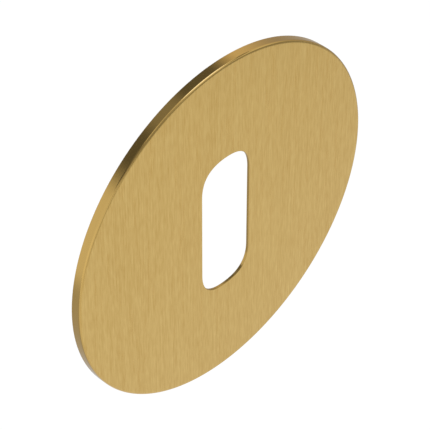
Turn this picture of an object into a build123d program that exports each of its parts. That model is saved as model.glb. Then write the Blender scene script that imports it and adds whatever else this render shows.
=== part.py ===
from build123d import *
import os

# Flat round keyhole escutcheon: one shallow cap of thin brass, with its rim turned back to the door
# and an upright rounded slot for the key. Sizes are in millimetres.
# The rim's back edge lies on the plane y = 0, the front faces -Y, and the slot stands along Z.

# Driving sizes
outer_diameter = 53.0
rim_depth = 1.5
wall_thickness = 0.45
front_edge_radius = 0.3
inner_corner_radius = 0.2
slot_width = 8.8
slot_height = 22.5
slot_end_fullness = 0.68  # a half round has about 0.55, a square end 1
edge_break = 0.05

# Sizes that follow from them
outer_radius = outer_diameter / 2
inner_radius = outer_radius - wall_thickness
front_y = -rim_depth
recess_y = front_y + wall_thickness
slot_side = slot_width / 2
slot_top = slot_height / 2
slot_shoulder = slot_top - slot_side
slot_end_pull = slot_end_fullness * slot_side


def cap_section():
    """Half section of the cap, drawn with X as the distance from its axis."""
    front_corner = (outer_radius, front_y)
    recess_corner = (inner_radius, recess_y)
    rim_outside = (outer_radius, 0)
    rim_inside = (inner_radius, 0)
    with BuildSketch(Plane.XY) as section:
        with BuildLine():
            Polyline(
                (0, front_y),
                front_corner,
                rim_outside,
                rim_inside,
                recess_corner,
                (0, recess_y),
                close=True,
            )
        make_face()
        for corner, radius in (
            (front_corner, front_edge_radius),
            (recess_corner, inner_corner_radius),
        ):
            fillet(section.vertices().sort_by_distance(corner)[0], radius)
        for corner in (rim_outside, rim_inside):
            chamfer(section.vertices().sort_by_distance(corner)[0], edge_break)
    return section.sketch


def slot_outline():
    """Outline of the key slot: straight sides, and smoothly curved ends that are fuller than half rounds."""
    with BuildSketch(Plane.XZ) as slot:
        with BuildLine():
            Line((slot_side, -slot_shoulder), (slot_side, slot_shoulder))
            for way in (1, -1):
                Bezier(
                    (slot_side, way * slot_shoulder),
                    (slot_side, way * (slot_shoulder + slot_end_pull)),
                    (slot_end_pull, way * slot_top),
                    (0, way * slot_top),
                )
            mirror(about=Plane.YZ)
        make_face()
    return slot.sketch


def escutcheon_cap():
    """The round cap, pierced by the key slot, with the slot's edges broken on both sides."""
    with BuildPart() as cap:
        add(cap_section())
        revolve(axis=Axis.Y)
        extrude(slot_outline(), amount=2 * rim_depth, mode=Mode.SUBTRACT)
        sheet_faces = cap.faces().filter_by(Axis.Y).sort_by(Axis.Y)[:2]
        slot_edges = [edge for face in sheet_faces for edge in face.inner_wires().edges()]
        chamfer(slot_edges, edge_break)
    return cap.part


os.makedirs("parts", exist_ok=True)
export_step(escutcheon_cap(), "parts/escutcheon_cap.step")
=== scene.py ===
import math
from collections import defaultdict, namedtuple

import bpy
from mathutils import Matrix, Vector


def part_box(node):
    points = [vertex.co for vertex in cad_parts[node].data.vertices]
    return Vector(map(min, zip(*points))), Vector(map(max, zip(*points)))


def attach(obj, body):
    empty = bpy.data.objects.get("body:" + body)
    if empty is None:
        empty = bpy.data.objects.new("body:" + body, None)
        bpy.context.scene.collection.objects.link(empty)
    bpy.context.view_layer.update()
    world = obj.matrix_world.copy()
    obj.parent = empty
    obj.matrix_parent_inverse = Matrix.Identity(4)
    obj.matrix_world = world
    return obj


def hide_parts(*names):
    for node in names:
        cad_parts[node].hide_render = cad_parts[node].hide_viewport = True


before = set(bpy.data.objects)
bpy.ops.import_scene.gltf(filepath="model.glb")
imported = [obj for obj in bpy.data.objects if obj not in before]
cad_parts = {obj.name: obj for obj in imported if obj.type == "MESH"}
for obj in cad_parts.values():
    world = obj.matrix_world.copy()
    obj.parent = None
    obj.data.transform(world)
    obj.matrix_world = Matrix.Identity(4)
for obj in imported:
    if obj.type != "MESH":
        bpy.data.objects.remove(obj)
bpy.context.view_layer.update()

# Flat round keyhole escutcheon: a shallow cap of brushed brass with an upright key slot.
# Metres, in the part's own frame: back rim on y = 0, brushed front facing -Y, slot along Z.

MM = 0.001
NODE = "escutcheon_cap"

# Form of the cap. Its diameter and depth come from the frame.
cap_low, cap_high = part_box(NODE)
OUTER_RADIUS = (cap_high.x - cap_low.x) / 2
FRONT_Y = cap_low.y
WALL_THICKNESS = 0.45 * MM
INNER_CORNER_RADIUS = 0.2 * MM
SLOT_WIDTH = 8.8 * MM
SLOT_HEIGHT = 22.5 * MM
SLOT_END_FULLNESS = 0.68
EDGE_BREAK = 0.05 * MM
INNER_RADIUS = OUTER_RADIUS - WALL_THICKNESS
RECESS_Y = FRONT_Y + WALL_THICKNESS
SLOT_SIDE = SLOT_WIDTH / 2
SLOT_TOP = SLOT_HEIGHT / 2
SLOT_SHOULDER = SLOT_TOP - SLOT_SIDE
SLOT_END_PULL = SLOT_END_FULLNESS * SLOT_SIDE

# The solid's front edge is a plain arc of 0.3 mm. Here the brushing has rolled the front over
# a little before its edge, which departs from that arc by less than 0.01 mm.
ROLL_RADIUS = 0.7 * MM
ROLL_ANGLE = 16
EDGE_RADIUS = 0.268 * MM

# Fineness of the mesh
TURN_STEPS = 720
FACE_STEPS = 8
ARC_STEPS = 8
EDGE_MARGIN = 0.02 * MM
SHARP_ANGLE = 30
SLOT_SEARCH_STEPS = 30

# Zones of the surface, in the order of the mesh's material slots
FRONT, RIM, INSIDE, CUT = range(4)

# Square map, one unit wide, that the materials bake to. The flat faces lie on it as discs,
# and the rim and the slot's wall as strips, unrolled below their top edges.
MAP_EDGE = 0.01
FRONT_DISC = 0.72
INSIDE_DISC = 0.25
RIM_STRIP_TOP = 0.99
SLOT_STRIP_TOP = 0.78
STRIP_SCALE = 0.06 / MM

Step = namedtuple("Step", "zone chart point start end")


def turn_angle(turn):
    """Angle round the axis, in radians, after a number of the mesh's steps."""
    return 2 * math.pi * turn / TURN_STEPS


def flat_chart(middle_u, middle_v, scale, hand):
    """Part of the map where a face lies flat.

    A face that looks back is turned over, with a hand of -1.
    """
    def chart(turn, point, length):
        angle = turn_angle(turn)
        return (
            middle_u + hand * scale * point.x * math.cos(angle),
            middle_v + scale * point.x * math.sin(angle),
        )

    return chart


def unrolled_chart(top):
    """Part of the map where a band of the section is unrolled from edge to edge."""
    def chart(turn, point, length):
        return (
            MAP_EDGE + (1 - 2 * MAP_EDGE) * turn / TURN_STEPS,
            top - STRIP_SCALE * length,
        )

    return chart


def slot_end(share, growth):
    """Point a share of the way along the curve of the slot's upper right end, moved outwards."""
    guides = [
        Vector((SLOT_SIDE, SLOT_SHOULDER)),
        Vector((SLOT_SIDE, SLOT_SHOULDER + SLOT_END_PULL)),
        Vector((SLOT_END_PULL, SLOT_TOP)),
        Vector((0, SLOT_TOP)),
    ]
    while len(guides) > 2:
        guides = [one.lerp(other, share) for one, other in zip(guides, guides[1:])]
    along = (guides[1] - guides[0]).normalized()
    return guides[0].lerp(guides[1], share) + Vector((along.y, -along.x)) * growth


def slot_reach(angle, growth):
    """Distance from the axis to the slot's outline, grown outwards, at one angle."""
    across, up = abs(math.cos(angle)), abs(math.sin(angle))
    side = SLOT_SIDE + growth
    if side * up <= SLOT_SHOULDER * across:
        return side / across
    low, high = 0.0, 1.0
    for _ in range(SLOT_SEARCH_STEPS):
        middle = (low + high) / 2
        point = slot_end(middle, growth)
        if point.y * across < point.x * up:
            low = middle
        else:
            high = middle
    return point.length


def straight(start, end, steps=1):
    """Points after start, up to end. A short margin at both ends keeps the shading flat."""
    start, end = Vector(start), Vector(end)
    margin = EDGE_MARGIN / (end - start).length
    shares = [margin, *(step / steps for step in range(1, steps)), 1 - margin, 1]
    return [start.lerp(end, share) for share in shares]


def arc(centre, radius, from_degrees, to_degrees):
    """Points after the first one of an arc."""
    angles = [
        math.radians(from_degrees + (to_degrees - from_degrees) * step / ARC_STEPS)
        for step in range(1, ARC_STEPS + 1)
    ]
    return [
        Vector((centre[0] + radius * math.cos(angle), centre[1] + radius * math.sin(angle)))
        for angle in angles
    ]


FRONT_CHART = flat_chart(
    MAP_EDGE + FRONT_DISC / 2,
    MAP_EDGE + FRONT_DISC / 2,
    FRONT_DISC / (2 * OUTER_RADIUS),
    1,
)
INSIDE_CHART = flat_chart(
    1 - MAP_EDGE - INSIDE_DISC / 2,
    MAP_EDGE + INSIDE_DISC / 2,
    INSIDE_DISC / (2 * INNER_RADIUS),
    -1,
)
RIM_CHART = unrolled_chart(RIM_STRIP_TOP)
SLOT_CHART = unrolled_chart(SLOT_STRIP_TOP)


def section(angle):
    """Steps round the closed section of the wall at one angle.

    A step's point holds its distance from the axis and its depth.
    Its start and end are lengths on its chart.
    """
    slot_edge = slot_reach(angle, EDGE_BREAK)
    slot_wall = slot_reach(angle, 0)
    roll = math.radians(ROLL_ANGLE)
    centres_apart = ROLL_RADIUS - EDGE_RADIUS
    front_end = OUTER_RADIUS - EDGE_RADIUS - centres_apart * math.sin(roll)
    roll_centre = (front_end, FRONT_Y + ROLL_RADIUS)
    edge_centre = (
        OUTER_RADIUS - EDGE_RADIUS,
        roll_centre[1] - centres_apart * math.cos(roll),
    )
    recess_end = INNER_RADIUS - INNER_CORNER_RADIUS
    recess_centre = (recess_end, RECESS_Y + INNER_CORNER_RADIUS)
    inner_foot = (INNER_RADIUS, -EDGE_BREAK)
    slot_back = (slot_wall, RECESS_Y - EDGE_BREAK)
    slot_front = (slot_wall, FRONT_Y + EDGE_BREAK)
    bands = [
        (FRONT, FRONT_CHART, straight((slot_edge, FRONT_Y), (front_end, FRONT_Y), FACE_STEPS)),
        (FRONT, FRONT_CHART, arc(roll_centre, ROLL_RADIUS, -90, ROLL_ANGLE - 90)),
        (RIM, RIM_CHART, arc(edge_centre, EDGE_RADIUS, ROLL_ANGLE - 90, 0)),
        (RIM, RIM_CHART, straight((OUTER_RADIUS, edge_centre[1]), (OUTER_RADIUS, -EDGE_BREAK))),
        (RIM, RIM_CHART, [Vector((OUTER_RADIUS - EDGE_BREAK, 0))]),
        (RIM, RIM_CHART, [Vector((INNER_RADIUS + EDGE_BREAK, 0))]),
        (RIM, RIM_CHART, [Vector(inner_foot)]),
        (INSIDE, RIM_CHART, straight(inner_foot, (INNER_RADIUS, recess_centre[1]))),
        (INSIDE, RIM_CHART, arc(recess_centre, INNER_CORNER_RADIUS, 0, -90)),
        (INSIDE, INSIDE_CHART, straight((recess_end, RECESS_Y), (slot_edge, RECESS_Y), FACE_STEPS)),
        (CUT, SLOT_CHART, [Vector(slot_back)]),
        (CUT, SLOT_CHART, straight(slot_back, slot_front)),
        (CUT, SLOT_CHART, [Vector((slot_edge, FRONT_Y))]),
    ]
    steps, lengths = [], defaultdict(float)
    last = bands[-1][2][-1]
    for zone, chart, points in bands:
        for point in points:
            start = lengths[chart]
            lengths[chart] += (point - last).length
            steps.append(Step(zone, chart, point, start, lengths[chart]))
            last = point
    return steps


def cap_mesh():
    """The cap as one closed net of four-sided faces: the wall's section, carried round the axis."""
    rings = [section(turn_angle(turn)) for turn in range(TURN_STEPS)]
    count = len(rings[0])
    vertices, faces, zones, map_places = [], [], [], []
    for turn, ring in enumerate(rings):
        next_ring = rings[(turn + 1) % TURN_STEPS]
        here, there = turn * count, (turn + 1) % TURN_STEPS * count
        across, up = math.cos(turn_angle(turn)), math.sin(turn_angle(turn))
        for place, (step, next_step) in enumerate(zip(ring, next_ring)):
            before = (place - 1) % count
            vertices.append((step.point.x * across, step.point.y, step.point.x * up))
            faces.append((here + before, here + place, there + place, there + before))
            zones.append(step.zone)
            map_places += (
                *step.chart(turn, ring[before].point, step.start),
                *step.chart(turn, step.point, step.end),
                *step.chart(turn + 1, next_step.point, next_step.end),
                *step.chart(turn + 1, next_ring[before].point, next_step.start),
            )
    mesh = bpy.data.meshes.new("brushed_escutcheon")
    mesh.from_pydata(vertices, [], faces)
    mesh.polygons.foreach_set("material_index", zones)
    mesh.polygons.foreach_set("use_smooth", [True] * len(faces))
    mesh.uv_layers.new(name="OFBake").uv.foreach_set("vector", map_places)
    mesh.set_sharp_from_angle(angle=math.radians(SHARP_ANGLE))
    mesh.validate()
    return mesh


# Tones of the brass, darker and lighter, as linear light
FRONT_TONES = ((0.47, 0.293, 0.071), (0.653, 0.466, 0.163))
RIM_TONES = ((0.512, 0.337, 0.102), (0.562, 0.372, 0.118))
INSIDE_TONES = ((0.44, 0.285, 0.09), (0.54, 0.355, 0.12))
CUT_TONES = ((0.435, 0.286, 0.087), (0.515, 0.342, 0.109))

# Fineness of the surface marks, in cells per metre along X, Y and Z
SHORT_STROKES = (4600, 200, 550)
LONG_STROKES = (4200, 200, 85)
BROAD_SHADES = (420, 200, 28)
TURNED_LINES = (160, 14000, 160)
TURNED_SHADES = (70, 900, 70)
ROLLED_SKIN = (900, 900, 500)
ROLLED_CLOUDS = (130, 130, 90)
CUT_LINES = (6000, 500, 6000)
CUT_SHADES = (500, 1500, 500)

# Shares of the brushed front's marks in its tone and in its relief
TONE_SHARES = (0.48, 0.44, 0.08)
RELIEF_SHARES = (0.6, 0.4)

# Roughness, from the smoother places to the rougher ones
FRONT_ROUGHNESS = (0.26, 0.36)
RIM_ROUGHNESS = (0.1, 0.16)
INSIDE_ROUGHNESS = (0.38, 0.48)
CUT_ROUGHNESS = (0.18, 0.28)

# Depth of the fine relief
FRONT_RELIEF = 0.004 * MM
RIM_RELIEF = 0.0005 * MM
INSIDE_RELIEF = 0.006 * MM
CUT_RELIEF = 0.0005 * MM

# How far the grain stretches the highlights, and its turn against the tangent
FRONT_GRAIN = 0.6
RIM_GRAIN = 0.3
ALONG, ACROSS = 0, 0.25

# Noise lies about 0.5, mostly within this range
NOISE_RANGE = 0.5


def noise(tree, fineness, detail=2.0):
    """Noise over the surface, stretched by its fineness along each axis."""
    place = tree.nodes.new("ShaderNodeTexCoord")
    stretch = tree.nodes.new("ShaderNodeMapping")
    stretch.inputs["Scale"].default_value = fineness
    pattern = tree.nodes.new("ShaderNodeTexNoise")
    pattern.inputs["Scale"].default_value = 1.0
    pattern.inputs["Detail"].default_value = detail
    tree.links.new(place.outputs["Object"], stretch.inputs["Vector"])
    tree.links.new(stretch.outputs["Vector"], pattern.inputs["Vector"])
    return pattern.outputs["Fac"]


def mixed_noise(tree, marks, shares):
    """Noise of several finenesses in one pattern, by shares that add up to 1."""
    total = None
    for fineness, share in zip(marks, shares):
        step = tree.nodes.new("ShaderNodeMath")
        step.operation = "MULTIPLY_ADD"
        step.inputs[1].default_value = share
        step.inputs[2].default_value = 0.0
        tree.links.new(noise(tree, fineness), step.inputs[0])
        if total:
            tree.links.new(total, step.inputs[2])
        total = step.outputs["Value"]
    return total


def spread(tree, pattern, low=0, high=1):
    """A pattern, stretched so that the usual range of noise runs from low to high."""
    stretch = tree.nodes.new("ShaderNodeMapRange")
    stretch.inputs["From Min"].default_value = 0.5 - NOISE_RANGE / 2
    stretch.inputs["From Max"].default_value = 0.5 + NOISE_RANGE / 2
    stretch.inputs["To Min"].default_value = low
    stretch.inputs["To Max"].default_value = high
    tree.links.new(pattern, stretch.inputs["Value"])
    return stretch.outputs["Result"]


def brass(name, tones, shade, roughness, relief, relief_depth):
    """Brass whose tone, roughness and fine relief each follow a pattern."""
    material = bpy.data.materials.new(name)
    material.use_nodes = True
    tree = material.node_tree
    shader = tree.nodes["Principled BSDF"]
    shader.inputs["Metallic"].default_value = 1.0
    tone = tree.nodes.new("ShaderNodeMix")
    tone.data_type = "RGBA"
    dark, light = (socket for socket in tone.inputs if socket.type == "RGBA")
    dark.default_value = (*tones[0], 1)
    light.default_value = (*tones[1], 1)
    mixed = next(socket for socket in tone.outputs if socket.type == "RGBA")
    tree.links.new(shade(tree), tone.inputs["Factor"])
    tree.links.new(mixed, shader.inputs["Base Color"])
    tree.links.new(roughness(tree), shader.inputs["Roughness"])
    bump = tree.nodes.new("ShaderNodeBump")
    bump.inputs["Distance"].default_value = relief_depth
    tree.links.new(relief(tree), bump.inputs["Height"])
    tree.links.new(bump.outputs["Normal"], shader.inputs["Normal"])
    return material


def set_grain(material, axis, strength, rotation):
    """Stretches the highlights across a grain that runs along, or round, an axis."""
    tree = material.node_tree
    shader = tree.nodes["Principled BSDF"]
    tangent = tree.nodes.new("ShaderNodeTangent")
    tangent.direction_type = "RADIAL"
    tangent.axis = axis
    tree.links.new(tangent.outputs["Tangent"], shader.inputs["Tangent"])
    shader.inputs["Anisotropic"].default_value = strength
    shader.inputs["Anisotropic Rotation"].default_value = rotation


def front_material():
    """Brushed up and down: short and long strokes, and broad faint shades."""
    def shade(tree):
        marks = (SHORT_STROKES, LONG_STROKES, BROAD_SHADES)
        return spread(tree, mixed_noise(tree, marks, TONE_SHARES))

    def roughness(tree):
        return spread(tree, noise(tree, LONG_STROKES), *FRONT_ROUGHNESS)

    def relief(tree):
        return mixed_noise(tree, (SHORT_STROKES, LONG_STROKES), RELIEF_SHARES)

    material = brass("brushed_front", FRONT_TONES, shade, roughness, relief, FRONT_RELIEF)
    set_grain(material, "Z", FRONT_GRAIN, ALONG)
    return material


def rim_material():
    """Turned or rolled smooth: fine lines run round the rim."""
    def shade(tree):
        return spread(tree, noise(tree, TURNED_SHADES))

    def roughness(tree):
        return spread(tree, noise(tree, TURNED_LINES), *RIM_ROUGHNESS)

    def relief(tree):
        return noise(tree, TURNED_LINES)

    material = brass("turned_rim", RIM_TONES, shade, roughness, relief, RIM_RELIEF)
    set_grain(material, "Y", RIM_GRAIN, ACROSS)
    return material


def inside_material():
    """The sheet's own rolled skin, duller than the front."""
    def shade(tree):
        return spread(tree, noise(tree, ROLLED_CLOUDS, detail=4))

    def roughness(tree):
        return spread(tree, noise(tree, ROLLED_CLOUDS, detail=3), *INSIDE_ROUGHNESS)

    def relief(tree):
        return noise(tree, ROLLED_SKIN, detail=3)

    return brass("rolled_inside", INSIDE_TONES, shade, roughness, relief, INSIDE_RELIEF)


def cut_material():
    """Sheared by the punch: darker, with fine lines straight through the sheet."""
    def shade(tree):
        return spread(tree, noise(tree, CUT_SHADES))

    def roughness(tree):
        return spread(tree, noise(tree, CUT_LINES), *CUT_ROUGHNESS)

    def relief(tree):
        return noise(tree, CUT_LINES)

    return brass("cut_slot_wall", CUT_TONES, shade, roughness, relief, CUT_RELIEF)


def place_cap():
    """The finished cap, in the place of the plain solid."""
    mesh = cap_mesh()
    for material in (front_material(), rim_material(), inside_material(), cut_material()):
        mesh.materials.append(material)
    cap = bpy.data.objects.new("brushed_escutcheon", mesh)
    bpy.context.scene.collection.objects.link(cap)
    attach(cap, "root")
    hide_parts(NODE)


# Camera, found from the photograph's outlines
VIEW_AZIMUTH = -45.88
VIEW_ELEVATION = 42.33
VIEW_ROLL = 0.11
VIEW_DISTANCE = 11.377 * OUTER_RADIUS
FRAME_OFFSET = Vector((0.0542, -0.0345)) * OUTER_RADIUS
LENS_PIXELS = 2280.5
IMAGE_PIXELS = 430
SENSOR_MM = 36
NEAREST_SEEN = 0.01


def direction(azimuth, elevation):
    """Direction from the object, in degrees: azimuth from the front towards +X, then elevation."""
    azimuth, elevation = math.radians(azimuth), math.radians(elevation)
    return Vector((
        math.sin(azimuth) * math.cos(elevation),
        -math.cos(azimuth) * math.cos(elevation),
        math.sin(elevation),
    ))


def place_camera():
    """A long lens, from above and to the left, with the front's centre a little off the middle."""
    back = direction(VIEW_AZIMUTH, VIEW_ELEVATION)
    level_right = direction(VIEW_AZIMUTH + 90, 0)
    right = Matrix.Rotation(math.radians(VIEW_ROLL), 3, back) @ level_right
    up = back.cross(right)
    camera = bpy.data.cameras.new("camera")
    camera.lens = LENS_PIXELS / IMAGE_PIXELS * SENSOR_MM
    camera.sensor_width = SENSOR_MM
    camera.clip_start = NEAREST_SEEN
    holder = bpy.data.objects.new("camera", camera)
    bpy.context.scene.collection.objects.link(holder)
    front_centre = Vector((0, FRONT_Y, 0))
    place = front_centre - right * FRAME_OFFSET.x - up * FRAME_OFFSET.y + back * VIEW_DISTANCE
    axes = Matrix((right, up, back)).transposed().to_4x4()
    holder.matrix_world = Matrix.Translation(place) @ axes
    bpy.context.scene.camera = holder


# Studio: a white room with a pale floor, a soft cool lamp overhead, a warm far wall,
# and soft-edged cards. Only the metal's reflections see the wall and the cards, and a later card
# hangs nearer than the ones before it. Places and sizes are angles in degrees, as the object sees
# them: azimuth from the front towards +X, then elevation, width and height.
FLOOR_Z = -0.4
FLOOR_SIZE = 20
FLOOR_COLOUR = (0.9, 0.9, 0.9)
FLOOR_LIFT = 0.24
ROOM_LIGHT = 0.86
LAMP = {
    "azimuth": 76,
    "elevation": 73.5,
    "width": 32,
    "height": 30,
    "brightness": 1.37,
    "colour": (0.82, 1, 1.85),
}
LAMP_DISTANCE = 0.28
WHITE = (1, 1, 1)
WARM = (1, 0.915, 0.79)
FAR_WALL_DISTANCE = 0.7
FAR_WALL = ("warm_wall", 126, 14, 60, 80, 0.96, 0.5, WARM)
CARD_SPAN = 2
CARD_DISTANCE = 0.38
CARD_STEP = 0.01
CARDS = (
    # name, azimuth, elevation, width, height, brightness, soft share of each half, colour
    ("back_ceiling_card", -173.9, 50, 91, 51, 0.165, 0.48, WHITE),
    ("ceiling_patch", -169, 58, 30, 30, 0.36, 0.7, WHITE),
    ("left_ceiling_card", -80, 50, 74, 30, 0.28, 0.3, WHITE),
    ("front_ceiling_card", -18, 38, 56, 60, 0.45, 0.35, WHITE),
    ("right_card", 106, -8, 90, 84, 0.5, 0.8, WARM),
    ("right_patch", 100, -20, 44, 34, 0.4, 0.7, WHITE),
    ("low_front_card", -2, -21, 36, 26, 0.62, 0.6, WHITE),
    ("front_card", 34, -5, 82, 52, 0.42, 0.25, WHITE),
    ("right_ceiling_strip", 81, 47, 66, 11, 0.3, 0.4, WHITE),
    ("low_back_card", -148, -49, 116, 66, 0.6, 0.5, WHITE),
    ("left_strip", -88, -3, 56, 50, 1.27, 0.9, WHITE),
    ("top_patch", -60, 78, 26, 22, 0.55, 0.7, WHITE),
    ("left_ceiling_strip", -100, 43, 44, 20, 0.13, 0.6, WHITE),
)


def seen_rays(tree):
    """A factor that is 1 for the camera, reflections and glass, and 0 for soft bounced light."""
    path = tree.nodes.new("ShaderNodeLightPath")
    total = path.outputs["Is Camera Ray"]
    for other in ("Is Glossy Ray", "Is Transmission Ray"):
        larger = tree.nodes.new("ShaderNodeMath")
        larger.operation = "MAXIMUM"
        tree.links.new(total, larger.inputs[0])
        tree.links.new(path.outputs[other], larger.inputs[1])
        total = larger.outputs["Value"]
    return total


def place_room():
    """White surroundings, which give the object plain soft light from all sides."""
    world = bpy.data.worlds.new("white_room")
    world.use_nodes = True
    tree = world.node_tree
    background = tree.nodes["Background"]
    background.inputs["Color"].default_value = (1, 1, 1, 1)
    level = tree.nodes.new("ShaderNodeMix")
    level.inputs["A"].default_value = ROOM_LIGHT
    level.inputs["B"].default_value = 1.0
    tree.links.new(seen_rays(tree), level.inputs["Factor"])
    tree.links.new(level.outputs["Result"], background.inputs["Strength"])
    bpy.context.scene.world = world


def sheet_object(name, width, height, material):
    """A flat rectangle in its own XY plane, facing +Z, that belongs to the studio."""
    mesh = bpy.data.meshes.new(name)
    x, y = width / 2, height / 2
    mesh.from_pydata([(-x, -y, 0), (x, -y, 0), (x, y, 0), (-x, y, 0)], [], [(0, 1, 2, 3)])
    mesh.materials.append(material)
    sheet = bpy.data.objects.new(name, mesh)
    bpy.context.scene.collection.objects.link(sheet)
    return sheet


def place_floor():
    """A pale floor well below the object, which takes shadows.

    It is lifted to white where it is seen.
    """
    material = bpy.data.materials.new("pale_floor")
    material.use_nodes = True
    tree = material.node_tree
    shader = tree.nodes["Principled BSDF"]
    shader.inputs["Base Color"].default_value = (*FLOOR_COLOUR, 1)
    shader.inputs["Roughness"].default_value = 1.0
    shader.inputs["Specular IOR Level"].default_value = 0.0
    shader.inputs["Emission Color"].default_value = (1, 1, 1, 1)
    lift = tree.nodes.new("ShaderNodeMath")
    lift.operation = "MULTIPLY"
    lift.inputs[1].default_value = FLOOR_LIFT
    tree.links.new(seen_rays(tree), lift.inputs[0])
    tree.links.new(lift.outputs["Value"], shader.inputs["Emission Strength"])
    floor = sheet_object("floor", FLOOR_SIZE, FLOOR_SIZE, material)
    floor.location.z = FLOOR_Z


def facing(azimuth, elevation, distance):
    """Placement of a sheet that lies in a direction from the object and faces it."""
    away = direction(azimuth, elevation)
    turn = (-away).to_track_quat("Z", "Y").to_matrix().to_4x4()
    return Matrix.Translation(away * distance) @ turn


def spanned(angle, distance):
    """Width of a sheet that spans an angle at a distance."""
    return 2 * distance * math.tan(math.radians(angle) / 2)


def card_material(name, colour, brightness, softness):
    """An even glow that fades out towards the edges of a card, one unit from its middle."""
    material = bpy.data.materials.new(name)
    material.use_nodes = True
    tree = material.node_tree
    tree.nodes.remove(tree.nodes["Principled BSDF"])
    place = tree.nodes.new("ShaderNodeTexCoord")
    parts = tree.nodes.new("ShaderNodeSeparateXYZ")
    tree.links.new(place.outputs["Object"], parts.inputs["Vector"])
    outward = []
    for axis in "XY":
        size = tree.nodes.new("ShaderNodeMath")
        size.operation = "ABSOLUTE"
        tree.links.new(parts.outputs[axis], size.inputs[0])
        outward.append(size.outputs["Value"])
    nearest_edge = tree.nodes.new("ShaderNodeMath")
    nearest_edge.operation = "MAXIMUM"
    for socket, source in zip(nearest_edge.inputs, outward):
        tree.links.new(source, socket)
    fade = tree.nodes.new("ShaderNodeMapRange")
    fade.interpolation_type = "SMOOTHSTEP"
    fade.inputs["From Min"].default_value = 1 - softness
    fade.inputs["From Max"].default_value = 1.0
    glow = tree.nodes.new("ShaderNodeEmission")
    glow.inputs["Color"].default_value = (*colour, 1)
    glow.inputs["Strength"].default_value = brightness
    clear = tree.nodes.new("ShaderNodeBsdfTransparent")
    either = tree.nodes.new("ShaderNodeMixShader")
    tree.links.new(nearest_edge.outputs["Value"], fade.inputs["Value"])
    tree.links.new(fade.outputs["Result"], either.inputs[0])
    tree.links.new(glow.outputs["Emission"], either.inputs[1])
    tree.links.new(clear.outputs["BSDF"], either.inputs[2])
    tree.links.new(either.outputs["Shader"], tree.nodes["Material Output"].inputs["Surface"])
    return material


def place_card(distance, name, azimuth, elevation, width, height, brightness, softness, colour):
    """A card that only reflections see, made in its own units and then sized."""
    material = card_material(name, colour, brightness, softness)
    card = sheet_object(name, CARD_SPAN, CARD_SPAN, material)
    sizing = Matrix.Diagonal((
        spanned(width, distance) / CARD_SPAN,
        spanned(height, distance) / CARD_SPAN,
        1,
        1,
    ))
    card.matrix_world = facing(azimuth, elevation, distance) @ sizing
    card.visible_camera = False
    card.visible_diffuse = False
    card.visible_shadow = False
    card.visible_transmission = False


def place_lamp(azimuth, elevation, width, height, brightness, colour):
    """A soft lamp of an even brightness, where 1 is white."""
    light = bpy.data.lights.new("overhead_lamp", "AREA")
    light.shape = "ELLIPSE"
    light.color = colour
    light.size = spanned(width, LAMP_DISTANCE)
    light.size_y = spanned(height, LAMP_DISTANCE)
    area = math.pi / 4 * light.size * light.size_y
    # A glow of brightness 1 gives off pi watts from each square metre.
    light.energy = brightness * math.pi * area
    lamp = bpy.data.objects.new("overhead_lamp", light)
    bpy.context.scene.collection.objects.link(lamp)
    flip = Matrix.Rotation(math.pi, 4, "X")
    lamp.matrix_world = facing(azimuth, elevation, LAMP_DISTANCE) @ flip
    lamp.visible_camera = False


def place_studio():
    """Everything round the object: room, floor, lamp, far wall and cards."""
    place_room()
    place_floor()
    place_lamp(**LAMP)
    place_card(FAR_WALL_DISTANCE, *FAR_WALL)
    for order, card in enumerate(CARDS):
        place_card(CARD_DISTANCE - order * CARD_STEP, *card)


place_cap()
place_camera()
place_studio()
bpy.context.scene.view_settings.view_transform = "Standard"
